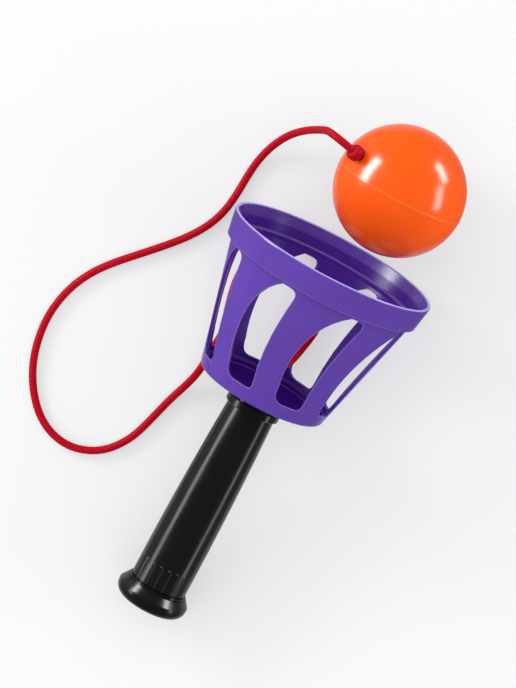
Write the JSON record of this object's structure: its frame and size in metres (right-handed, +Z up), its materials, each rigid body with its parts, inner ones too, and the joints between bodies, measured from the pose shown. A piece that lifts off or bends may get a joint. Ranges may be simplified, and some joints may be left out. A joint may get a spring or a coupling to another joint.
{
  "type": "ball catch toy",
  "caption": "Ball catch toy: slotted cup with a wide rim on a straight fluted handle with a round end cap, and a hollow ball tied to the cup's floor by a braided cord.",
  "frame": {"origin": "centre of the bottom of the box round the toy and its ball, on the floor they lie on", "axes": "+X along the toy from its end cap to the mouth of its basket, where the ball lies; +Z up from the floor; the toy's own axis rises 10.2 degrees towards +X"},
  "size_m": [0.296, 0.1805, 0.1133],
  "materials": {
    "basket_plastic": "glossy moulded purple",
    "handle_plastic": "glossy moulded black",
    "ball_plastic": "glossy moulded orange",
    "cord_braid": "fine crimson braid"
  },
  "bodies": {
    "catcher": {"basket": "basket_plastic", "handle_grip": "handle_plastic", "end_cap": "handle_plastic", "cord": "cord_braid", "basket_knot": "cord_braid"},
    "ball_tether": {"ball_knot": "cord_braid", "ball_inner_knot": "cord_braid"},
    "ball": {"ball_half_front": "ball_plastic", "ball_half_back": "ball_plastic"}
  },
  "joints": [
    {"name": "ball_catch", "type": "slide", "parent": "catcher", "child": "ball_tether", "axis": [-0.9607, 0.1807, 0.2109], "range_m": [0, 0.077], "deforming": ["cord"]},
    {"name": "ball_swivel", "type": "hinge", "parent": "ball_tether", "child": "ball", "pos_m": [0.11253, -0.014, 0.0355], "axis": [0.1569, 0.7382, 0.6561], "continuous": true}
  ]
}
